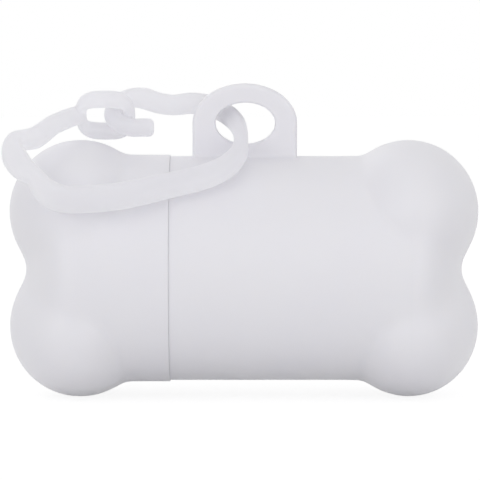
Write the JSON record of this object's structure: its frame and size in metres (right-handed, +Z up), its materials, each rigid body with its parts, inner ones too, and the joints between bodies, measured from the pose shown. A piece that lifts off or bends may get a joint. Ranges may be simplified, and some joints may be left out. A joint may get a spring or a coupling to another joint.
{
  "type": "dog waste bag dispenser",
  "caption": "Bone-shaped plastic case with a push-on end cap, an eyelet and a hook strap, holding a roll of dog waste bags.",
  "frame": {"origin": "middle of the eyelet's oval hole, in the middle of the plate's thickness", "axes": "+X along the bone away from the cap, +Y towards the back with the bag slot, +Z up through the eyelet"},
  "size_m": [0.0838, 0.0435, 0.0559],
  "materials": {
    "moulded_white_shell": "satin",
    "soft_white_strap": "satin",
    "kraft_board": "matte",
    "bag_film": "satin"
  },
  "bodies": {
    "body": {"body_front_shell": "moulded_white_shell", "body_rear_shell": "moulded_white_shell", "neck_ring": "moulded_white_shell"},
    "cap": {"cap_front_shell": "moulded_white_shell", "cap_rear_shell": "moulded_white_shell", "cap_collar": "moulded_white_shell"},
    "strap": {"hook_strap": "soft_white_strap"},
    "roll": {"roll_core": "kraft_board", "bag_roll": "bag_film"}
  },
  "joints": [
    {"name": "cap_pull", "type": "slide", "parent": "body", "child": "cap", "axis": [-1, 0, 0], "range_m": [0, 0.03]},
    {"name": "strap_swing", "type": "hinge", "parent": "body", "child": "strap", "pos_m": [-0.0018, 0, 0.0002], "axis": [0, 1, 0], "range_deg": [0, 160]},
    {"name": "roll_spin", "type": "hinge", "parent": "body", "child": "roll", "pos_m": [-0.0004, 0, -0.0271], "axis": [1, 0, 0], "continuous": true}
  ]
}
